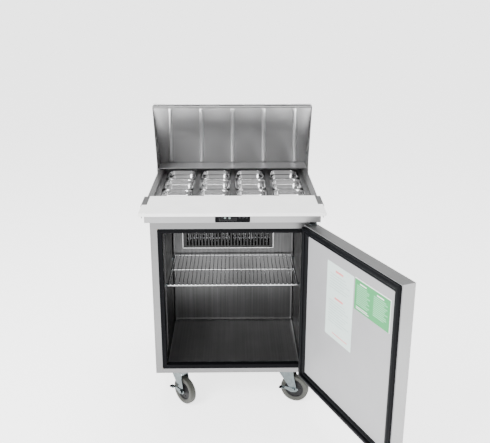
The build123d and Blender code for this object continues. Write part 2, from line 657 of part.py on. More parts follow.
KNUCKLES = [(-300 + 100 * n, n % 2) for n in range(7)]
with BuildPart() as fold_hinge_fixed:
    for knuckle_x, moving in KNUCKLES:
        if not moving:
            round_bar(HOOD.offset(knuckle_x - 45), FOLD_LOCAL, KNUCKLE_R, 90)
            slab_points = [
                (FOLD_LOCAL[0], FOLD_LOCAL[1] - 1),
                (FOLD_LOCAL[0] + 12, FOLD_LOCAL[1] - 1 + SLOPE * 12),
                (FOLD_LOCAL[0] + 12, HOOD_FOOT + TIP_HIGH + SLOPE * (12 - 3.5)),
                (HOOD_TIP, HOOD_FOOT + TIP_HIGH),
                (FOLD_LOCAL[0], HOOD_FOOT + TIP_HIGH),
            ]
            side_profile(HOOD, slab_points, (knuckle_x - 45, knuckle_x + 45))
    round_bar(HOOD.offset(-345), FOLD_LOCAL, FOLD_PIN_R, 690, Mode.SUBTRACT)
    round_bar(HOOD.offset(-345), FOLD_LOCAL, FOLD_PIN_R - 0.05, 690)
save(fold_hinge_fixed, "fold_hinge_fixed")

with BuildPart() as fold_hinge_moving:
    for knuckle_x, moving in KNUCKLES:
        if moving:
            round_bar(HOOD.offset(knuckle_x - 45), FOLD_LOCAL, KNUCKLE_R, 90)
            side_profile(
                LEAF,
                [(0, -LEAF_GAP), (0, -LEAF_GAP + 1.2), (-18, -LEAF_GAP + 1.2), (-18, -LEAF_GAP)],
                (knuckle_x - 45, knuckle_x + 45),
            )
    round_bar(HOOD.offset(-345), FOLD_LOCAL, FOLD_PIN_R, 690, Mode.SUBTRACT)
save(fold_hinge_moving, "fold_hinge_moving")

with BuildPart() as lid_handle:
    for post_x in (-70, 70):
        side_profile(
            LEAF,
            [
                (-LEAF_LONG - 22, -12),
                (-LEAF_LONG, -12),
                (-LEAF_LONG, -6),
                (-LEAF_LONG - 22, -6),
            ],
            (post_x - 5, post_x + 5),
        )
    round_bar(LEAF.offset(-80), (-LEAF_LONG - 24, -9), 5, 160)
save(lid_handle, "lid_handle")

STAND_IN, STAND_OUT = LID_HALF + 0.8, LID_HALF + 4.8
PIN_LONG = STAND_OUT - LID_HALF + LID_SHEET + 4
with BuildPart() as lid_pivots:
    both_sides(TOP_HALF, STAND_IN, (PIVOT_Y - 30, PIVOT_Y + 30), (884, 928))
    for side in (-1, 1):
        near, far = (STAND_IN, STAND_OUT) if side > 0 else (-STAND_OUT, -STAND_IN)
        side_profile(
            Plane.YZ,
            [
                (PIVOT_Y - 30, 884),
                (PIVOT_Y + 30, 884),
                (PIVOT_Y + 30, TOP_Z),
                (PIVOT_Y + 14, PIVOT_Z + 6),
                (PIVOT_Y + 6, PIVOT_Z + 14),
                (PIVOT_Y - 6, PIVOT_Z + 14),
                (PIVOT_Y - 14, PIVOT_Z + 6),
                (PIVOT_Y - 30, TOP_Z),
            ],
            (near, far),
        )
        start_x = STAND_OUT - PIN_LONG if side > 0 else -STAND_OUT
        round_bar(Plane.YZ.offset(start_x), (PIVOT_Y, PIVOT_Z), 6, PIN_LONG)
save(lid_pivots, "lid_pivots")

# ---------------------------------------------------------------- casters

CASTER_SPOTS = {
    "front_left": (-CASTER_X, CASTER_FRONT_Y),
    "front_right": (CASTER_X, CASTER_FRONT_Y),
    "rear_left": (-CASTER_X, CASTER_REAR_Y),
    "rear_right": (CASTER_X, CASTER_REAR_Y),
}
PLATE_THICK = 4
RACE_LOW = 148
STEM_R = 6
with BuildPart() as caster_plates:
    for spot in CASTER_SPOTS.values():
        with BuildSketch(Plane.XY.offset(BODY_LOW - PLATE_THICK)):
            with Locations(spot):
                RectangleRounded(92, 92, 8)
        extrude(amount=PLATE_THICK)
        round_bar(Plane.XY.offset(RACE_LOW + 5), spot, 26, BODY_LOW - PLATE_THICK - RACE_LOW - 5)
        round_bar(Plane.XY.offset(RACE_LOW - 6), spot, STEM_R, BODY_LOW - RACE_LOW)
save(caster_plates, "caster_plates")

AXLE_R = 5
CHEEK_IN, CHEEK_THICK = 18, 3
CHEEK_OUT = CHEEK_IN + CHEEK_THICK
NUT_LONG = 5
BRAKE_FACE, BRAKE_THICK = CHEEK_OUT + 0.3, 3
CASTER_TURN = {"front_left": -48, "front_right": -22, "rear_left": -30, "rear_right": -14}


def caster_planes(name):
    """A caster's plan and side planes, both from its swivel axis at floor level."""
    turn = radians(CASTER_TURN[name])
    origin = (*CASTER_SPOTS[name], 0)
    trail = (cos(turn), sin(turn), 0)
    plan = Plane(origin=origin, x_dir=trail, z_dir=(0, 0, 1))
    side = Plane(origin=origin, x_dir=trail, z_dir=(sin(turn), -cos(turn), 0))
    return plan, side


for name in CASTER_SPOTS:
    plan, side = caster_planes(name)
    with BuildPart() as caster_fork:
        for near in (-CHEEK_OUT, CHEEK_IN):
            with BuildSketch(side.offset(near)):
                with BuildLine():
                    Polyline(
                        (-30, RACE_LOW),
                        (32, RACE_LOW),
                        (TRAIL + 14, WHEEL_R + 4),
                        (TRAIL + 8, WHEEL_R - 10),
                        (TRAIL - 8, WHEEL_R - 10),
                        (TRAIL - 16, WHEEL_R + 4),
                        (-30, RACE_LOW - 14),
                        close=True,
                    )
                make_face()
            extrude(amount=CHEEK_THICK)
        slab(plan, (-30, 32), (-CHEEK_OUT, CHEEK_OUT), (RACE_LOW, RACE_LOW + 4))
        round_bar(plan.offset(RACE_LOW - 8), (0, 0), STEM_R + 0.05, 20, Mode.SUBTRACT)
        round_bar(side.offset(-CHEEK_OUT), (TRAIL, WHEEL_R), AXLE_R, 2 * CHEEK_OUT + BRAKE_THICK + 2)
        for near in (-CHEEK_OUT - NUT_LONG, BRAKE_FACE + BRAKE_THICK + 0.3):
            with BuildSketch(side.offset(near)):
                with Locations((TRAIL, WHEEL_R)):
                    RegularPolygon(9, 6)
            extrude(amount=NUT_LONG)
    save(caster_fork, "caster_fork_" + name)

    with BuildPart() as caster_wheel:
        round_bar(side.offset(-WHEEL_WIDE / 2), (TRAIL, WHEEL_R), WHEEL_R, WHEEL_WIDE)
        fillet(caster_wheel.edges(), 5)
        for way in (-1, 1):
            recess = side.offset(way * WHEEL_WIDE / 2)
            round_bar(recess, (TRAIL, WHEEL_R), 44, -way * 5, Mode.SUBTRACT)
            round_bar(recess.offset(-way * 5), (TRAIL, WHEEL_R), 18, way * 6)
        round_bar(side.offset(-40), (TRAIL, WHEEL_R), AXLE_R + 0.05, 80, Mode.SUBTRACT)
    save(caster_wheel, "caster_wheel_" + name)

for name in ("front_left", "front_right"):
    plan, side = caster_planes(name)
    brake_y = (-BRAKE_FACE - BRAKE_THICK, -BRAKE_FACE)
    with BuildPart() as brake_pedal:
        with BuildSketch(side.offset(BRAKE_FACE)):
            with BuildLine():
                Polyline(
                    (TRAIL - 52, WHEEL_R + 4),
                    (TRAIL - 50, WHEEL_R + 11),
                    (TRAIL - 12, WHEEL_R + 9),
                    (TRAIL + 20, WHEEL_R + 10),
                    (TRAIL + 24, WHEEL_R + 4),
                    (TRAIL + 12, WHEEL_R - 9),
                    (TRAIL - 10, WHEEL_R - 12),
                    close=True,
                )
            make_face()
        extrude(amount=BRAKE_THICK)
        slab(plan, (TRAIL - 62, TRAIL - 50), (brake_y[0] - 14, brake_y[1]), (WHEEL_R + 5, WHEEL_R + 9))
        slab(plan, (TRAIL - 50, TRAIL - 40), (brake_y[0] - 14, brake_y[1]), (WHEEL_R + 5, WHEEL_R + 9))
        round_bar(side.offset(CHEEK_OUT), (TRAIL, WHEEL_R), AXLE_R + 0.05, 10, Mode.SUBTRACT)
    save(brake_pedal, "brake_pedal_" + name)
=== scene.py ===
"""Looks for the sandwich prep table: detailed meshes, procedural materials, lights and camera."""

import json
from math import cos, pi, radians, sin, sqrt

import bmesh
import bpy
from mathutils import Matrix, Vector


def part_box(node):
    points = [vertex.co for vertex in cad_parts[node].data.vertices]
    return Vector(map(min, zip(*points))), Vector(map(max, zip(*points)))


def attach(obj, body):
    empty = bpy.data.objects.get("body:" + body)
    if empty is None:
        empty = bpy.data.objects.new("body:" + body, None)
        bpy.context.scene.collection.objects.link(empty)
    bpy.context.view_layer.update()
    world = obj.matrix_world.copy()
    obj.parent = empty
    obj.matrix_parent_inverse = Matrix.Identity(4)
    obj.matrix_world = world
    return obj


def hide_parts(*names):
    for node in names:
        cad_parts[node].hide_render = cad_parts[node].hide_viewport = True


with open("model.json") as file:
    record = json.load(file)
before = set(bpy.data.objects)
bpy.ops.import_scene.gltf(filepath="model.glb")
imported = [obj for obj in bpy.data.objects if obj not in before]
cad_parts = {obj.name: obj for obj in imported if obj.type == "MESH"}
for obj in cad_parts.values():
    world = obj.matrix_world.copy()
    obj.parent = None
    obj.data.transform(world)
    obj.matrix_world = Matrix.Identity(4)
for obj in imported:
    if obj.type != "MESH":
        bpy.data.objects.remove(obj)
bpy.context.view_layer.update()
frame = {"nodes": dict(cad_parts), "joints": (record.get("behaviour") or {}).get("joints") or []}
NODES = frame["nodes"]
MM = 0.001


# ---------------------------------------------------------------- materials

EVEN = (1, 1, 1)
# How much of a brushed steel's shade comes from its grain and how much from its clouds, and their scale
GRAIN_SHARE, CLOUD_SHARE, CLOUD_SCALE = 0.45, 0.55, 3.2
# How small the grain's factor is along the brushing, and how deep all the bumps are, in metres
GRAIN_STRETCH, BUMP_DEEP = 0.012, 0.0002
PATCH_SCALE = 14


def new_material(name):
    """An empty node material with its shader, and a function that adds and links nodes."""
    material = bpy.data.materials.new(name)
    material.use_nodes = True
    tree = material.node_tree
    shader = tree.nodes["Principled BSDF"]

    def add(kind, **values):
        node = tree.nodes.new(kind)
        for key, value in values.items():
            if key in node.inputs:
                node.inputs[key].default_value = value
            else:
                setattr(node, key, value)
        return node

    return material, tree, shader, add


def ramp(add, tree, source, low, high, start, end):
    """Turns a grey value into a colour between two, over a stretch of its range."""
    node = add("ShaderNodeValToRGB")
    node.color_ramp.elements[0].position = start
    node.color_ramp.elements[1].position = end
    node.color_ramp.elements[0].color = (*low, 1)
    node.color_ramp.elements[1].color = (*high, 1)
    tree.links.new(source, node.inputs["Fac"])
    return node.outputs["Color"]


def noise(add, tree, scale, stretch, detail):
    """Noise with its scale per metre, stretched along the axes that have a small factor."""
    place = add("ShaderNodeTexCoord")
    mapping = add("ShaderNodeMapping")
    mapping.inputs["Scale"].default_value = stretch
    tree.links.new(place.outputs["Object"], mapping.inputs["Vector"])
    texture = add("ShaderNodeTexNoise", Scale=scale, Detail=detail)
    tree.links.new(mapping.outputs["Vector"], texture.inputs["Vector"])
    return texture.outputs["Fac"]


def add_bump(add, tree, shader, height, strength):
    """Bump from a height, on the shader's normal."""
    bump = add("ShaderNodeBump", Strength=strength, Distance=BUMP_DEEP)
    tree.links.new(height, bump.inputs["Height"])
    tree.links.new(bump.outputs["Normal"], shader.inputs["Normal"])


def brushed(name, dark, light, rough, grain="x", fine=900):
    """Brushed stainless: fine grain along one axis, with broad faint cloudiness."""
    material, tree, shader, add = new_material(name)
    along = tuple(GRAIN_STRETCH if axis == grain else 1 for axis in "xyz")
    lines = noise(add, tree, fine, along, 4)
    clouds = noise(add, tree, CLOUD_SCALE, EVEN, 2)
    mix = add("ShaderNodeMath", operation="MULTIPLY_ADD")
    mix.inputs[1].default_value = GRAIN_SHARE
    tree.links.new(lines, mix.inputs[0])
    cloudy = add("ShaderNodeMath", operation="MULTIPLY")
    cloudy.inputs[1].default_value = CLOUD_SHARE
    tree.links.new(clouds, cloudy.inputs[0])
    tree.links.new(cloudy.outputs[0], mix.inputs[2])
    colour = ramp(add, tree, mix.outputs[0], (dark,) * 3, (light, light, light * 1.01), 0.25, 0.75)
    tree.links.new(colour, shader.inputs["Base Color"])
    shader.inputs["Metallic"].default_value = 1
    gloss = add("ShaderNodeMapRange")
    gloss.inputs["To Min"].default_value = rough - 0.06
    gloss.inputs["To Max"].default_value = rough + 0.08
    tree.links.new(lines, gloss.inputs["Value"])
    tree.links.new(gloss.outputs[0], shader.inputs["Roughness"])
    add_bump(add, tree, shader, lines, 0.12)
    return material


def moulded(name, colour, rough, grain=1500, strength=0.15, spread=0.15, coat=0, shine=0.5):
    """Moulded plastic, rubber or paint: a fine skin texture with slight colour change."""
    material, tree, shader, add = new_material(name)
    speckle = noise(add, tree, grain, EVEN, 2)
    patches = noise(add, tree, PATCH_SCALE, EVEN, 3)
    darker = tuple(c * (1 - spread) for c in colour)
    lighter = tuple(min(1, c * (1 + spread * 0.6)) for c in colour)
    tint = ramp(add, tree, patches, darker, lighter, 0.3, 0.7)
    tree.links.new(tint, shader.inputs["Base Color"])
    gloss = add("ShaderNodeMapRange")
    gloss.inputs["To Min"].default_value = max(0.02, rough - 0.05)
    gloss.inputs["To Max"].default_value = rough + 0.07
    tree.links.new(patches, gloss.inputs["Value"])
    tree.links.new(gloss.outputs[0], shader.inputs["Roughness"])
    shader.inputs["Coat Weight"].default_value = coat
    shader.inputs["Specular IOR Level"].default_value = shine
    add_bump(add, tree, shader, speckle, strength)
    return material


def plated(name, colour, rough, grain=260):
    """Zinc or chrome plate, with a soft crystal mottle."""
    material, tree, shader, add = new_material(name)
    mottle = noise(add, tree, grain, EVEN, 4)
    tint = ramp(add, tree, mottle, tuple(c * 0.8 for c in colour), colour, 0.35, 0.65)
    tree.links.new(tint, shader.inputs["Base Color"])
    shader.inputs["Metallic"].default_value = 1
    gloss = add("ShaderNodeMapRange")
    gloss.inputs["To Min"].default_value = max(0.03, rough - 0.05)
    gloss.inputs["To Max"].default_value = rough + 0.1
    tree.links.new(mottle, gloss.inputs["Value"])
    tree.links.new(gloss.outputs[0], shader.inputs["Roughness"])
    add_bump(add, tree, shader, mottle, 0.08)
    return material


STEEL = brushed("stainless_outside", 0.34, 0.44, 0.36, "x")
STEEL_UP = brushed("stainless_upright", 0.20, 0.29, 0.36, "z")
APRON = brushed("stainless_apron", 0.26, 0.36, 0.36, "x")
# The liner's steel, darkened to near black as painted shade inside the cabinet, and a lighter copy of it as
# painted light on its floor
LINER_PAINTED_SHADE = brushed("stainless_liner_painted_shade", 0.035, 0.12, 0.3, "z", 140)
TUB_FLOOR_PAINTED_LIGHT = brushed("stainless_tub_floor_painted_light", 0.30, 0.52, 0.3, "y", 140)
# Steel inside the cabinet, darkened to near black as painted shade, like the liner's walls
PILASTER_PAINTED_SHADE = brushed("pilaster_steel_painted_shade", 0.05, 0.09, 0.36, "z", 700)
COVER_PAINTED_SHADE = brushed("evaporator_cover_steel_painted_shade", 0.02, 0.045, 0.36, "x", 700)
# The face frame's steel: its own tone, darkened further as painted shade from the apron above it
FRONT_WITH_SHADE = brushed("stainless_front_with_painted_shade", 0.15, 0.22, 0.36, "x")
WELL = brushed("stainless_well", 0.30, 0.42, 0.30, "x")
PAN = brushed("pan_steel", 0.44, 0.56, 0.16, "y", 500)
BARS = brushed("divider_steel", 0.16, 0.24, 0.36, "y")
BRACKET = brushed("bracket_steel", 0.14, 0.22, 0.42, "y")
LID_IN = brushed("lid_inside_steel", 0.40, 0.54, 0.34, "z", 700)
# The hood's ribs: the same steel made much lighter, a painted highlight along each rib
LID_RIB_HIGHLIGHT = brushed("lid_rib_painted_highlight", 0.80, 0.94, 0.3, "z", 700)
# A much lighter copy of the hood's steel: painted light on the hood's back wall, which lies nearly flat and
# face up when open, and a painted highlight on the evaporator cover's trim
LID_BACK_LIT = brushed("lid_back_painted_light", 0.62, 0.76, 0.34, "x", 700)
LID_OUT = brushed("lid_outside_steel", 0.30, 0.40, 0.34, "x")
DOOR_STEEL = brushed("door_steel", 0.26, 0.36, 0.36, "z")
DOOR_FACE = moulded("door_liner_paint", (0.33, 0.33, 0.34), 0.45, 900, 0.05, 0.03)
BLACK = moulded("black_plastic", (0.003, 0.0032, 0.004), 0.5, 1400, 0.2, shine=0.05)
GASKET = moulded("gasket_rubber", (0.0032, 0.0036, 0.0046), 0.45, 1800, 0.2, 0.2, shine=0.08)
BOARD = moulded("board_plastic", (0.93, 0.93, 0.92), 0.5, 700, 0.25, 0.03)
SCREEN = moulded("display_lens", (0.005, 0.005, 0.006), 0.3, 200, 0.02, 0.1, 0, 0.12)
BUTTON = moulded("button_plastic", (0.02, 0.02, 0.023), 0.45, shine=0.2)
TYRE = moulded("wheel_rubber", (0.042, 0.043, 0.036), 0.55, 900, 0.35, 0.25)
HUB = moulded("wheel_hub", (0.012, 0.012, 0.013), 0.5, 900, 0.2, 0.2, shine=0.2)
ZINC = plated("zinc_plate", (0.13, 0.15, 0.155), 0.2, 60)
WIRE = plated("shelf_wire", (0.86, 0.87, 0.88), 0.2, 500)
MOTOR = moulded("motor_paint", (0.03, 0.03, 0.034), 0.4, 600, 0.2, 0.2, 0.2)
FINS = plated("coil_aluminium", (0.72, 0.73, 0.74), 0.35)
NYLON = moulded("bush_nylon", (0.75, 0.74, 0.7), 0.45)
FOAM = moulded("foam", (0.75, 0.66, 0.42), 0.85, 500, 0.8)
PAPER = moulded("notice_paper", (0.60, 0.71, 0.68), 0.6, 900, 0.05, 0.03)
GREEN = moulded("notice_green", (0.03, 0.30, 0.09), 0.55, 900, 0.05, 0.06)
PALE_GREEN = moulded("notice_pale_green", (0.20, 0.52, 0.29), 0.55, 900, 0.05, 0.08)
WHITE_INK = moulded("notice_white", (0.75, 0.80, 0.76), 0.55, 900, 0.05, 0.05)
RED_INK = moulded("notice_red", (0.80, 0.24, 0.24), 0.55, 900, 0.05, 0.08)
GREY_INK = moulded("notice_grey", (0.42, 0.53, 0.51), 0.55, 900, 0.05, 0.08)

FINISH = {
    "outer_shell": STEEL_UP, "face_frame": FRONT_WITH_SHADE, "rear_panel": STEEL_UP, "top_frame": APRON,
    "machine_base": STEEL, "interior_liner": LINER_PAINTED_SHADE, "pan_well": WELL, "evaporator_cover": COVER_PAINTED_SHADE,
    "shelf_pilasters": PILASTER_PAINTED_SHADE, "shelf_clips": ZINC, "breaker_strip": BLACK, "control_bezel": BLACK,
    "evaporator_fan": BLACK, "cord_gland": BLACK, "cabinet_insulation": FOAM, "door_insulation": FOAM,
    "lid_insulation": FOAM, "divider_bars": BARS, "board_brackets": BRACKET, "cutting_board": BOARD,
    "board_pads": GASKET, "control_display": SCREEN, "wire_shelf": WIRE, "evaporator_motor": MOTOR,
    "condenser_motor": MOTOR, "compressor": MOTOR, "evaporator_coil": FINS, "condenser_coil": FINS,
    "condenser_fan": FINS, "door_skin": DOOR_STEEL, "door_handle": DOOR_STEEL,
    "door_inner_panel": DOOR_FACE, "notice_sheets": PAPER, "door_hinges": ZINC, "lid_pivots": STEEL_UP,
    "fold_hinge_fixed": STEEL, "fold_hinge_moving": STEEL, "lid_handle": ZINC, "door_bushes": NYLON,
    "lid_skin": LID_OUT, "lid_leaf": LID_OUT, "lid_inner_panel": LID_IN, "caster_plates": ZINC,
    "door_gasket": GASKET,
}
for node_name, node in NODES.items():
    finish = FINISH.get(node_name)
    if finish is None:
        for start, candidate in (("food_pans", PAN), ("caster_fork", ZINC), ("caster_wheel", TYRE),
                                 ("brake_pedal", ZINC), ("control_button", BUTTON)):
            if node_name.startswith(start):
                finish = candidate
    node.data.materials.clear()
    node.data.materials.append(finish)


# ---------------------------------------------------------------- mesh helpers


def piece(name, mesh_maker, material, body, node=None, smooth=True, angle=35):
    """A new mesh piece, filled by mesh_maker(bm), riding on a body."""
    mesh = bpy.data.meshes.new(name)
    bm = bmesh.new()
    mesh_maker(bm)
    bmesh.ops.recalc_face_normals(bm, faces=bm.faces)
    bm.to_mesh(mesh)
    bm.free()
    thing = bpy.data.objects.new(name, mesh)
    bpy.context.scene.collection.objects.link(thing)
    mesh.materials.append(material)
    if smooth:
        mesh.shade_smooth()
        mesh.set_sharp_from_angle(angle=radians(angle))
    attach(thing, body)
    if node:
        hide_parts(node)
    return thing


def skin_rings(bm, rings, loop=False):
    """Joins rings of points into a skin of quads, with a face at each end unless it loops."""
    rows = [[bm.verts.new(point) for point in ring] for ring in rings]
    pairs = list(zip(rows, rows[1:] + rows[:1])) if loop else list(zip(rows, rows[1:]))
    for low, high in pairs:
        for at in range(len(low)):
            following = (at + 1) % len(low)
            bm.faces.new((low[at], low[following], high[following], high[at]))
    if not loop:
        bm.faces.new(list(reversed(rows[0])))
        bm.faces.new(rows[-1])


def rounded_outline(low, high, radius, steps=7):
    """Points round a rectangle with round corners, from its low to its high corner."""
    points = []
    for corner, (sx, sy) in enumerate(((1, 1), (-1, 1), (-1, -1), (1, -1))):
        cx = high[0] - radius if sx > 0 else low[0] + radius
        cy = high[1] - radius if sy > 0 else low[1] + radius
        for step in range(steps):
            turn = pi / 2 * (corner + step / (steps - 1))
            points.append((cx + radius * cos(turn), cy + radius * sin(turn)))
    return points


def rounded_ring(centre, wide, long, radius, z):
    """A rectangle with round corners, level at z, in millimetres turned to metres."""
    low = (centre[0] - wide / 2, centre[1] - long / 2)
    high = (centre[0] + wide / 2, centre[1] + long / 2)
    return [Vector((x, y, z)) * MM for x, y in rounded_outline(low, high, radius)]


def upright_frame(low, high, profile, radius, place=Matrix(), depth_from=0, steps=5):
    """Fills a mesh with a section, as inset and depth, led round an upright rectangle facing -Y."""
    def make(bm):
        rings = []
        for inset, depth in profile:
            outline = rounded_outline((low[0] + inset, low[1] + inset), (high[0] - inset, high[1] - inset),
                                      max(0.4, radius - inset), steps)
            rings.append([place @ (Vector((x, depth_from + depth, z)) * MM) for x, z in outline])
        skin_rings(bm, rings, loop=True)
    return make


def lathe(profile, place, steps=48):
    """Fills a mesh with a section, as radius and distance along Z, turned about a placed Z axis."""
    def make(bm):
        rings = []
        for step in range(steps):
            turn = 2 * pi * step / steps
            rings.append([place @ (Vector((r * cos(turn), r * sin(turn), z)) * MM) for r, z in profile])
        skin_rings(bm, rings, loop=True)
    return make


def facing(point, direction):
    """A frame in metres at a point in millimetres, with its Z along a direction."""
    turn = Vector(direction).normalized().to_track_quat("Z", "Y").to_matrix().to_4x4()
    return Matrix.Translation(Vector(point) * MM) @ turn


def bolt_heads(spots, direction, radius=4, high=2.4, sides=6):
    """Fills a mesh with flanged hex heads at several points, facing one way."""
    def make(bm):
        for spot in spots:
            place = facing(spot, direction)
            flange = [(radius * 1.35, 0), (radius * 1.4, 0.3), (radius * 1.3, 0.7), (radius * 1.05, 0.8)]
            rings = []
            for r, z in [(radius * 1.35, -0.2)] + flange:
                rings.append([place @ (Vector((r * cos(t), r * sin(t), z)) * MM)
                              for t in (2 * pi * n / 24 for n in range(24))])
            skin_rings(bm, rings)
            rings = []
            for r, z in ((radius, 0.5), (radius, high - 0.4), (radius * 0.86, high), (radius * 0.55, high),
                         (radius * 0.45, high - 0.3)):
                rings.append([place @ (Vector((r * cos(t), r * sin(t), z)) * MM)
                              for t in (2 * pi * n / sides for n in range(sides))])
            skin_rings(bm, rings)
    return make


def soft_box(low, high, edge, place=Matrix()):
    """Fills a mesh with a block whose edges are rounded."""
    def make(bm):
        rings = []
        deep = high[2] - low[2]
        for inset, up in ((edge, 0), (edge * 0.3, edge * 0.3), (0, edge), (0, deep - edge),
                          (edge * 0.3, deep - edge * 0.3), (edge, deep)):
            outline = rounded_outline((low[0] + inset, low[1] + inset), (high[0] - inset, high[1] - inset),
                                      max(0.2, edge * 1.6 - inset), 5)
            rings.append([place @ (Vector((x, y, low[2] + up)) * MM) for x, y in outline])
        skin_rings(bm, rings)
    return make


def local_box(node_name, place):
    """A node's lowest and highest corner in a placed frame, in millimetres."""
    back = place.inverted()
    points = [back @ vertex.co / MM for vertex in NODES[node_name].data.vertices]
    return (Vector([min(p[axis] for p in points) for axis in range(3)]),
            Vector([max(p[axis] for p in points) for axis in range(3)]))


def in_mm(corners):
    """A box's lowest and highest corner, given in metres, in millimetres."""
    return [corner / MM for corner in corners]


JOINTS = {joint["name"]: joint for joint in frame["joints"]}
hinge = JOINTS["door_hinge"]
# The door's shut frame, turned to where it stands open, with its origin on the hinge axis
DOOR = Matrix.Translation((hinge["pos_m"][0], hinge["pos_m"][1], 0)) @ Matrix.Rotation(
    radians(-hinge["range_deg"][0]), 4, "Z"
)
tilt = JOINTS["lid_tilt"]
# The hood's shut frame, turned back to where it stands open, with its origin on the pivot
HOOD = Matrix.Translation(tilt["pos_m"]) @ Matrix.Rotation(radians(-tilt["range_deg"][1]), 4, "X")

# ---------------------------------------------------------------- food pans

PAN_HIGH = in_mm(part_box("food_pans_front"))[1].z
PAN_RIM = (141, 174)
PAN_COLUMNS = 4
# Each step of a pan's section: inset from the rim's edge, height below the rim, corner radius
PAN_OUTSIDE = ((24, 98, 15), (19.6, 94, 18), (17.4, 84, 20), (15.2, 25, 23), (11, 22.4, 25), (10.2, 6, 27),
               (9, 2.4, 28), (3, 1.6, 31), (0.4, 1.4, 33))
PAN_INSIDE = ((0, 0.6, 34), (0.6, -0.3, 33), (4, -1.1, 31), (8, -0.6, 29), (10, 1.4, 28), (11, 5, 27),
              (11.6, 19, 26), (12.6, 21.4, 25), (15.4, 22.6, 23), (16.6, 24.4, 22), (18.6, 80, 18),
              (21, 92, 16), (26, 96.5, 13))


def pan_mesh(centre):
    """One pan: a rolled rim, a step near its mouth, tapered walls and a rounded floor."""
    def make(bm):
        rings = []
        for inset, drop, radius in PAN_OUTSIDE + PAN_INSIDE:
            wide, long = (side - 2 * inset for side in PAN_RIM)
            rings.append(rounded_ring(centre, wide, long, radius, PAN_HIGH - drop))
        skin_rings(bm, rings)
    return make


for row in ("front", "middle", "rear"):
    low, high = in_mm(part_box("food_pans_" + row))
    middle_y = (low.y + high.y) / 2
    pitch = (high.x - low.x - PAN_RIM[0]) / (PAN_COLUMNS - 1)
    for column in range(PAN_COLUMNS):
        middle_x = (column - (PAN_COLUMNS - 1) / 2) * pitch
        piece("pan_" + row + "_" + str(column + 1), pan_mesh((middle_x, middle_y)), PAN, "cabinet",
              "food_pans_" + row)

# ---------------------------------------------------------------- hood inside

lid_low, lid_high = local_box("lid_skin", HOOD)
panel_low, panel_high = local_box("lid_inner_panel", HOOD)
TIP_HIGH = 15
HOOD_SLOPE = (lid_high.z - lid_low.z - TIP_HIGH) / (lid_high.y - lid_low.y)
HOOD_LEAN = sqrt(1 + HOOD_SLOPE ** 2)
# How deep under the hood's top its skin ends and its inner sheet starts, and how thick that sheet is
SKIN_DEPTH, PANEL_DEPTH, SHEET = 1.4, 11.4, 0.8
# How finely that sheet is divided, and how much it is crowned between two ribs
SHEET_ROWS, SHEET_COLUMNS, CROWN = 26, 96, 0.8
# A rib's height, half its width, how long its ends take to die away, and how far its foot is sunk
RIB_HIGH, RIB_HALF, RIB_FADE, RIB_SUNK = 7, 9, 8, 0.4
RIB_ENDS = (panel_low.y + 3, panel_high.y - 9)
RIB_ROWS, RIB_STEPS, RIB_COUNT = 32, 12, 5
# The ribs' pitch at the tip and at the foot
RIB_PITCHES = (137, 151)
# The back wall leans out by this much for each step up, and its sheet lies this far in, between these heights
BACK_LEAN, BACK_IN, BACK_FOOT, BACK_TOP, BACK_ROWS = 0.358, 1.6, -44, lid_high.z - 16, 8


def under_hood(x, y, depth):
    """A point straight below the hood's sloping top, a depth measured square to it, in the object's frame."""
    top = lid_low.z + TIP_HIGH + HOOD_SLOPE * (y - lid_low.y)
    return HOOD @ (Vector((x, y, top - depth * HOOD_LEAN)) * MM)


def rib_pitch(y):
    """The spacing of the ribs, which draw a little closer together towards the tip."""
    share = (y - RIB_ENDS[0]) / (RIB_ENDS[1] - RIB_ENDS[0])
    return RIB_PITCHES[0] + (RIB_PITCHES[1] - RIB_PITCHES[0]) * min(1, max(0, share))


def hood_sheet(bm):
    """The hood's inner sheet, softly crowned between its ribs, with a flange over the foam's front edge."""
    start, end = panel_low.y, panel_high.y - 0.6
    ys = [start + (end - start) * n / SHEET_ROWS for n in range(SHEET_ROWS + 1)]
    xs = [panel_high.x * (2 * n / SHEET_COLUMNS - 1) for n in range(SHEET_COLUMNS + 1)]
    front = [[bm.verts.new(under_hood(x, start, SKIN_DEPTH)) for x in xs]]
    rear = [[bm.verts.new(under_hood(x, start + SHEET, SKIN_DEPTH)) for x in xs]]
    for y in ys:
        fade = min(1, (y - start) / RIB_FADE, (end - y) / RIB_FADE)
        depths = [PANEL_DEPTH + CROWN * fade * sin(pi * (x / rib_pitch(y) % 1)) ** 2 for x in xs]
        front.append([bm.verts.new(under_hood(x, y, depth)) for x, depth in zip(xs, depths)])
        rear.append([bm.verts.new(under_hood(x, max(y, start + SHEET), PANEL_DEPTH - SHEET)) for x in xs])
    for rows in (front, rear):
        for low, high in zip(rows, rows[1:]):
            for at in range(len(xs) - 1):
                bm.faces.new((low[at], low[at + 1], high[at + 1], high[at]))
    for at in range(len(xs) - 1):
        for n in (0, -1):
            bm.faces.new((front[n][at], front[n][at + 1], rear[n][at + 1], rear[n][at]))
    for n in range(len(front) - 1):
        for at in (0, -1):
            bm.faces.new((front[n][at], front[n + 1][at], rear[n + 1][at], rear[n][at]))


def hood_rib(place):
    """One pressed rib, counted from the middle: a round back that dies away at both ends."""
    def make(bm):
        rings = []
        for n in range(RIB_ROWS + 1):
            y = RIB_ENDS[0] + (RIB_ENDS[1] - RIB_ENDS[0]) * n / RIB_ROWS
            along = min(y - RIB_ENDS[0], RIB_ENDS[1] - y) / RIB_FADE
            swell = sqrt(max(0.02, 1 - (1 - min(1, along)) ** 2))
            ring = []
            for step in range(RIB_STEPS + 1):
                turn = pi * step / RIB_STEPS
                ring.append(under_hood(place * rib_pitch(y) + RIB_HALF * cos(turn), y,
                                       PANEL_DEPTH - RIB_SUNK + RIB_HIGH * swell * sin(turn)))
            rings.append(ring)
        skin_rings(bm, rings)
    return make


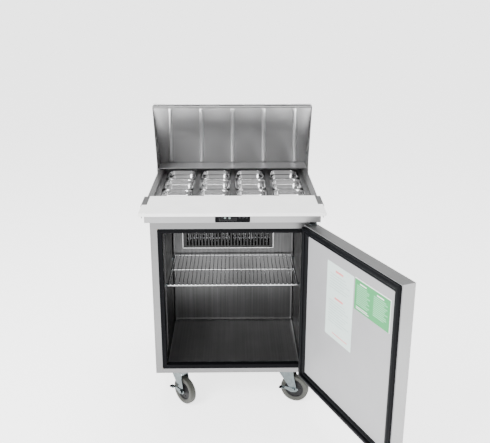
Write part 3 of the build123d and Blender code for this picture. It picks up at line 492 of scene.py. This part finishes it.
def hood_back_sheet(bm):
    """The hood's inner sheet on its back wall, with a small lip at its foot."""
    rings = []
    for x in (1 - panel_high.x, panel_high.x - 1):
        ring = []
        for lift in (0, SHEET):
            steps = range(BACK_ROWS + 1) if lift else range(BACK_ROWS, -1, -1)
            for n in steps:
                z = BACK_FOOT + (BACK_TOP - BACK_FOOT) * n / BACK_ROWS
                lip = 2 * lift if n == 0 else 0
                y = lid_high.y - BACK_LEAN * (lid_high.z - z) - BACK_IN - lift - lip
                ring.append(HOOD @ (Vector((x, y, z)) * MM))
        rings.append(ring)
    skin_rings(bm, rings)


piece("lid_inside_sheet", hood_sheet, LID_IN, "lid", "lid_inner_panel")
# The back wall's sheet carries painted light
piece("lid_back_sheet", hood_back_sheet, LID_BACK_LIT, "lid", smooth=False)
# Each rib carries the lighter steel, a painted highlight
for number in range(RIB_COUNT):
    piece("lid_rib_" + str(number + 1), hood_rib(number - RIB_COUNT // 2), LID_RIB_HIGHLIGHT, "lid",
          "lid_inner_panel")

# ---------------------------------------------------------------- door

gasket_low, gasket_high = local_box("door_gasket", DOOR)
# The seal's section, as inset from its outer edge and height off the door: foot, bellows, bulb and inner fold
SEAL = ((0, 0), (0, 2.2), (1.6, 3), (2.2, 5), (0.9, 7), (0.2, 10), (1.4, 13.6), (4.4, 15.7), (9, 16),
        (13.6, 15.5), (16.4, 13.4), (17.2, 10), (16.2, 7.4), (17.6, 5.2), (19.6, 4.4), (21.6, 6), (24, 7.2),
        (26.4, 6.2), (27.8, 4.4), (30.8, 3.6), (33, 2), (34, 0))
piece("door_seal", upright_frame((gasket_low.x, gasket_low.z), (gasket_high.x, gasket_high.z), SEAL, 5, DOOR,
                                 gasket_low.y),
      GASKET, "door", "door_gasket", angle=50)

face_y = gasket_low.y
# How thick a printed bar is, and how far a sheet's back stays off the door
INK_DEEP, SHEET_OFF = 0.05, 0.02


def card(name, corners, lift, material, edge=0.6):
    """A thin printed sheet on the door's inner face, from its x and z corners."""
    def make(bm):
        (left, low), (right, high) = corners
        rings = []
        for out in (face_y + SHEET_OFF, face_y + lift):
            outline = rounded_outline((left, low), (right, high), edge, 3)
            rings.append([DOOR @ (Vector((x, out, z)) * MM) for x, z in outline])
        skin_rings(bm, rings)
    return piece(name, make, material, "door", "notice_sheets", smooth=False)


def lines(name, left, right, top, pitch, count, thick, lift, material, ragged=0.3):
    """Short bars one under another, in place of print, each of its own length."""
    def make(bm):
        for n in range(count):
            share = 1 - ragged * (0.5 + 0.5 * sin(n * 2.4 + left))
            end = right - (right - left) * share
            high = top - n * pitch
            corners = ((end, high - thick), (right, high - thick), (right, high), (end, high))
            rings = []
            for out in (face_y + lift - INK_DEEP, face_y + lift):
                rings.append([DOOR @ (Vector((x, out, z)) * MM) for x, z in corners])
            skin_rings(bm, rings)
    return piece(name, make, material, "door", "notice_sheets", smooth=False)


# Local x falls from the hinge to the free edge, so a sheet's print starts at its high x
card("pale_sheet", ((-365, 482), (-180, 786)), 0.3, PAPER, 3)
lines("pale_sheet_headings", -300, -240, 764, 108, 2, 8, 0.45, RED_INK, 0.1)
lines("pale_sheet_upper_lines", -345, -200, 744, 11, 6, 3, 0.4, GREY_INK)
lines("pale_sheet_lower_lines", -345, -200, 636, 11, 9, 3, 0.4, GREY_INK)
lines("pale_sheet_foot", -340, -232, 506, 10, 1, 4, 0.4, RED_INK, 0.1)
card("green_card", ((-592, 668), (-373, 790)), 0.3, GREEN, 2)
card("green_card_top", ((-592, 786), (-373, 790)), 0.4, WHITE_INK, 0.6)
card("green_card_side", ((-592, 668), (-588, 790)), 0.42, WHITE_INK, 0.6)
for column, left in (("inner", -470), ("outer", -575)):
    lines("green_card_%s_heading" % column, left + 24, left + 66, 776, 20, 1, 5, 0.5, WHITE_INK, 0)
    lines("green_card_%s_lines" % column, left, left + 84, 766, 7, 11, 4, 0.45, PALE_GREEN, 0.25)
lines("green_card_foot", -470, -386, 684, 6, 2, 3, 0.5, WHITE_INK, 0.15)

# ---------------------------------------------------------------- cabinet mouth and liner

strip_low, strip_high = in_mm(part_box("breaker_strip"))
# The strip's section, as inset from its outer edge and depth behind the cabinet's front face
STRIP = ((0, 3), (0, 0.9), (0.9, 0), (6.4, 0), (7.2, 0.9), (9, 0.9), (9.8, 0), (16.6, 0), (18.2, 0.7),
         (19, 2.4), (19, 24.8), (17.6, 24.8), (17.2, 3))
piece("mouth_strip", upright_frame((strip_low.x, strip_low.z), (strip_high.x, strip_high.z), STRIP, 7),
      BLACK, "cabinet", "breaker_strip", angle=40)

liner_low, liner_high = in_mm(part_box("interior_liner"))
# The liner's coved corners, and how far its lip rolls in and out at the mouth
COVE, COVE_STEPS = 14, 6
LIP_ROLL, LIP_BACK = 0.5, 0.4


def liner_mesh(bm):
    """A tub lying on its back: round corners and edges, and a rolled lip at its mouth."""
    low, high = (liner_low.x, liner_low.z), (liner_high.x, liner_high.z)
    mouth, back = liner_low.y, liner_high.y
    rings = []

    def ring(inset, y, radius):
        outline = rounded_outline((low[0] + inset, low[1] + inset), (high[0] - inset, high[1] - inset),
                                  radius, COVE_STEPS)
        rings.append([Vector((x, y, z)) * MM for x, z in outline])

    ring(COVE, back, 2)
    ring(0.2, back - 1, COVE)
    ring(0, back - COVE, COVE)
    ring(0, mouth + LIP_BACK, COVE)
    ring(LIP_ROLL, mouth, COVE - LIP_ROLL)
    ring(1, mouth + LIP_BACK, COVE - 1)
    ring(1, back - COVE, COVE - 1)
    for step in range(1, COVE_STEPS + 1):
        turn = pi / 2 * step / COVE_STEPS
        ring(1 + COVE * (1 - cos(turn)), back - COVE + (COVE - 1) * sin(turn), max(1, COVE * cos(turn)))
    skin_rings(bm, rings)


# The tub's walls carry painted shade; faces turned up get the lighter copy, painted light on its floor
tub = piece("liner_tub", liner_mesh, LINER_PAINTED_SHADE, "cabinet", "interior_liner")
tub.data.materials.append(TUB_FLOOR_PAINTED_LIGHT)
LIT_FACES_UP = 0.8
for face in tub.data.polygons:
    if face.normal.z > LIT_FACES_UP:
        face.material_index = 1

cover_low, cover_high = in_mm(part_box("evaporator_cover"))
# The trim's section, as inset from the cover's edge and depth, which is negative in front of the cover
TRIM = ((0, 0.2), (0, -2), (0.6, -2.6), (3, -2.6), (3.6, -2), (3.8, 0.2))
# The trim carries the lighter steel, a painted highlight round the cover's edge
piece("evaporator_cover_trim",
      upright_frame((cover_low.x, cover_low.z), (cover_high.x, cover_high.z), TRIM, 3, Matrix(), cover_low.y),
      LID_BACK_LIT, "cabinet")

# ---------------------------------------------------------------- casters

# Sections as radius and place along the axle, or height for the race
TREAD = ((42, -11), (46, -12.6), (50, -14.2), (56, -14.9), (59.6, -13.6), (61.6, -11), (62.3, -8.4),
         (62.4, -6.4), (61.4, -5.8), (61.4, -4.8), (62.45, -4.2), (62.5, 0), (62.45, 4.2), (61.4, 4.8),
         (61.4, 5.8), (62.4, 6.4), (62.3, 8.4), (61.6, 11), (59.6, 13.6), (56, 14.9), (50, 14.2),
         (46, 12.6), (42, 11))
HUB_SECTION = ((5.1, -15), (12, -15), (14.5, -14), (15.4, -10), (20, -7), (34, -6), (38, -7), (40, -10),
               (42.4, -10.6), (42.4, 10.6), (40, 10), (38, 7), (34, 6), (20, 7), (15.4, 10), (14.5, 14),
               (12, 15), (5.1, 15))
RACE = ((10, -1), (26, -1), (30.5, 0.6), (32, 3.2), (30.5, 5.8), (28, 6.6), (10, 6.6))
# The rivets on each side of a hub, the radius they stand on and their distance from its middle
RIVET_COUNT, RIVET_RING, RIVET_OUT = 5, 27, 6.2
# Heights that the race's section starts from and of the plate's underside, and its bolts' distance each way
RACE_BASE, PLATE_UNDER, PLATE_BOLT = 153.6, 164, 36
for spot in ("front_left", "front_right", "rear_left", "rear_right"):
    roll = JOINTS["roll_" + spot]
    wheel = facing([value / MM for value in roll["pos_m"]], roll["axis"])
    node_name = "caster_wheel_" + spot
    body = "wheel_" + spot
    piece("tyre_" + spot, lathe(TREAD, wheel, 96), TYRE, body, node_name, angle=30)
    piece("hub_" + spot, lathe(HUB_SECTION, wheel, 64), HUB, body, node_name, angle=30)
    for side in (-1, 1):
        turns = [2 * pi * n / RIVET_COUNT for n in range(RIVET_COUNT)]
        rivets = [wheel @ (Vector((RIVET_RING * cos(t), RIVET_RING * sin(t), side * RIVET_OUT)) * MM) / MM
                  for t in turns]
        outward = Vector(roll["axis"]) * side
        piece("hub_rivets_%s_%s" % (spot, "in" if side < 0 else "out"),
              bolt_heads(rivets, outward, 3, 2, 12), HUB, body, node_name)
    stem = [value / MM for value in JOINTS["swivel_" + spot]["pos_m"]]
    race_place = Matrix.Translation(Vector((stem[0], stem[1], RACE_BASE)) * MM)
    piece("race_" + spot, lathe(RACE, race_place), ZINC, "cabinet", angle=30)
    corners = [(stem[0] + sx * PLATE_BOLT, stem[1] + sy * PLATE_BOLT, PLATE_UNDER)
               for sx in (-1, 1) for sy in (-1, 1)]
    piece("plate_bolts_" + spot, bolt_heads(corners, (0, 0, -1), 5.5, 4.5), ZINC, "cabinet")

# The pad wraps the pedal's toe: how far it laps over, how far it reaches in and across, and its heights
PAD_LAP, PAD_LONG, PAD_WIDE, PAD_HEIGHTS = 1.2, 11, 16, (66.3, 72.7)
for spot in ("front_left", "front_right"):
    roll = JOINTS["roll_" + spot]
    swivel = JOINTS["swivel_" + spot]
    trail = Vector(roll["pos_m"]) - Vector(swivel["pos_m"])
    heading = Matrix.Rotation(trail.to_2d().angle_signed(Vector((1, 0))), 4, "Z")
    turn = Matrix.Translation((swivel["pos_m"][0], swivel["pos_m"][1], 0)) @ heading
    toe = local_box("brake_pedal_" + spot, turn)[0]
    pad = soft_box((toe.x - PAD_LAP, toe.y - PAD_LAP, PAD_HEIGHTS[0]),
                   (toe.x + PAD_LONG, toe.y + PAD_WIDE, PAD_HEIGHTS[1]), 1.4, turn)
    piece("pedal_pad_" + spot, pad, BLACK, "brake_" + spot)

# ---------------------------------------------------------------- back and fittings

back_low, back_high = in_mm(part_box("rear_panel"))
# The louvre hoods: their columns, rows and pitch, and how far each reaches to the sides, out and up
LOUVRE_COLUMNS, LOUVRE_ROWS, LOUVRE_MIDDLE, LOUVRE_PITCH = (-115, 115), 8, 330, 30
LOUVRE_HALF, LOUVRE_OUT, LOUVRE_HIGH, LOUVRE_DROP, LOUVRE_SHEET = 98, 7, 13, 4, 0.2
LOUVRE_STEPS, LOUVRE_FADE, LOUVRE_ARC = 16, 3, 6


def louvre_hoods(bm):
    """Pressed hoods over the rear panel's slots, open below."""
    arc = [pi / 2 * step / LOUVRE_ARC for step in range(LOUVRE_ARC + 1)]
    outer = [(LOUVRE_SHEET, LOUVRE_OUT, LOUVRE_HIGH, t) for t in arc]
    inner = [(-LOUVRE_SHEET, LOUVRE_OUT - 1, LOUVRE_HIGH - 1, t) for t in reversed(arc)]
    for column in LOUVRE_COLUMNS:
        for row in range(LOUVRE_ROWS):
            foot = LOUVRE_MIDDLE + (row - (LOUVRE_ROWS - 1) / 2) * LOUVRE_PITCH - LOUVRE_DROP
            rings = []
            for n in range(LOUVRE_STEPS + 1):
                x = column + LOUVRE_HALF * (2 * n / LOUVRE_STEPS - 1)
                swell = sin(pi * min(1, min(n, LOUVRE_STEPS - n) / LOUVRE_FADE) / 2)
                rings.append([
                    Vector((x, back_high.y + lift + out * swell * sin(t), foot + high * cos(t))) * MM
                    for lift, out, high, t in outer + inner
                ])
            skin_rings(bm, rings)


piece("rear_louvres", louvre_hoods, STEEL_UP, "cabinet")
REAR_SCREW_IN = 14
rear_screws = [(x, back_high.y, z) for x in (back_low.x + REAR_SCREW_IN, back_high.x - REAR_SCREW_IN)
               for z in (back_low.z + 20, 340, 520, 700, back_high.z - 34)]
piece("rear_screws", bolt_heads(rear_screws, (0, 1, 0), 3.6, 2.2), ZINC, "cabinet")

pivots = in_mm(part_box("lid_pivots"))
brackets = in_mm(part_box("board_brackets"))
pivot = [value / MM for value in tilt["pos_m"]]
PIVOT_SCREW_Z, PIVOT_SCREW_STEP, BRACKET_SCREW_Z, BRACKET_SCREW_YS = 908, 16, 928, (-44, 2)
for index, side, word in ((0, -1, "left"), (1, 1, "right")):
    out = pivots[index].x
    edge = brackets[index].x
    cap = bolt_heads([(out, pivot[1], pivot[2])], (side, 0, 0), 8, 3.4)
    foot_ys = (pivot[1] - PIVOT_SCREW_STEP, pivot[1] + PIVOT_SCREW_STEP)
    feet = bolt_heads([(out, y, PIVOT_SCREW_Z) for y in foot_ys], (side, 0, 0), 4.5, 3)
    arms = bolt_heads([(edge, y, BRACKET_SCREW_Z) for y in BRACKET_SCREW_YS], (side, 0, 0), 4, 2.6)
    piece("pivot_cap_" + word, cap, ZINC, "cabinet")
    piece("pivot_screws_" + word, feet, ZINC, "cabinet")
    piece("bracket_screws_" + word, arms, ZINC, "cabinet")

hinge_low, hinge_high = in_mm(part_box("door_hinges"))
hinge_x = hinge["pos_m"][0] / MM
HINGE_SCREW_STEP, HINGE_SCREW_Y = 9, -5
for word, z in (("upper", hinge_high.z - 6.2), ("lower", hinge_low.z + 5)):
    spots = [(hinge_x + step, HINGE_SCREW_Y, z) for step in (-HINGE_SCREW_STEP, HINGE_SCREW_STEP)]
    piece("hinge_screws_" + word, bolt_heads(spots, (0, -1, 0), 2.6, 1.8), ZINC, "cabinet")

bezel_low = in_mm(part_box("control_bezel"))[0]
display_low, display_high = in_mm(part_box("control_display"))
# The rim's section, as inset from its outer edge and depth, and how far it laps round the display
WINDOW = ((0, 0.4), (0.2, -0.5), (1, -0.9), (2, -0.5), (2.2, 0.4))
WINDOW_LAP = 2
display_rim = upright_frame((display_low.x - WINDOW_LAP, display_low.z - WINDOW_LAP),
                            (display_high.x + WINDOW_LAP, display_high.z + WINDOW_LAP), WINDOW, 3,
                            Matrix(), bezel_low.y)
piece("display_rim", display_rim, BUTTON, "cabinet")


# Where the digit places start across the display, how high their bars are, and the bars' size
DIGIT_PLACES, DIGIT_BARS = (-34, -16), (909, 903, 897)
DIGIT_WIDE, DIGIT_THICK = 8, 1.4


def digits(bm):
    """Dim bars of two idle digit places in the display."""
    for x in DIGIT_PLACES:
        for z in DIGIT_BARS:
            corners = ((x, z), (x + DIGIT_WIDE, z), (x + DIGIT_WIDE, z + DIGIT_THICK), (x, z + DIGIT_THICK))
            rings = [[Vector((cx, display_low.y + lift, cz)) * MM for cx, cz in corners]
                     for lift in (0.1, -0.15)]
            skin_rings(bm, rings)


piece("display_segments", digits, GREY_INK, "cabinet")

# ---------------------------------------------------------------- lights, floor, camera

# Half the floor's side in metres, wide enough that its far edge stays above the camera's own view
FLOOR_HALF = 900
FLOOR_PALE, FLOOR_GLOW = 0.93, 2.4
floor_mesh = bpy.data.meshes.new("floor")
floor_mesh.from_pydata([(x * FLOOR_HALF, y * FLOOR_HALF, 0) for x, y in ((-1, -1), (1, -1), (1, 1), (-1, 1))],
                       [], [(0, 1, 2, 3)])
floor = bpy.data.objects.new("floor", floor_mesh)
bpy.context.scene.collection.objects.link(floor)
floor_material, _, floor_shader, _ = new_material("pale_floor")
floor_shader.inputs["Base Color"].default_value = (FLOOR_PALE, FLOOR_PALE, FLOOR_PALE, 1)
floor_shader.inputs["Roughness"].default_value = 0.95
floor_shader.inputs["Emission Color"].default_value = (1, 1, 1, 1)
floor_shader.inputs["Emission Strength"].default_value = FLOOR_GLOW
floor_mesh.materials.append(floor_material)

world = bpy.data.worlds.new("studio")
bpy.context.scene.world = world
world.use_nodes = True
world.node_tree.nodes["Background"].inputs["Color"].default_value = (1, 1, 1, 1)
world.node_tree.nodes["Background"].inputs["Strength"].default_value = 0.8


def area_light(name, place, aim, size, power):
    """A soft square light at a place, aimed at a point."""
    data = bpy.data.lights.new(name, "AREA")
    data.size = size
    data.energy = power
    light = bpy.data.objects.new(name, data)
    light.location = place
    light.rotation_euler = (Vector(aim) - Vector(place)).to_track_quat("-Z", "Y").to_euler()
    bpy.context.scene.collection.objects.link(light)


area_light("key", (-2.2, -2.6, 3.0), (0, 0.2, 0.7), 2.0, 230)
area_light("fill", (2.6, -2.4, 1.8), (0.2, 0, 0.6), 2.4, 12)
area_light("top", (0, 0.6, 3.6), (0, 0.2, 0.9), 1.8, 120)

CAMERA_PLACE = (0.011, -2.687, 1.758)
CAMERA_DOWN, CAMERA_LEFT = 18.44, -0.83
camera_data = bpy.data.cameras.new("camera")
camera_data.lens = 51.4
camera_data.sensor_width = 36
camera = bpy.data.objects.new("camera", camera_data)
camera.location = CAMERA_PLACE
camera.rotation_euler = (radians(90 - CAMERA_DOWN), 0, radians(CAMERA_LEFT))
bpy.context.scene.collection.objects.link(camera)
bpy.context.scene.camera = camera
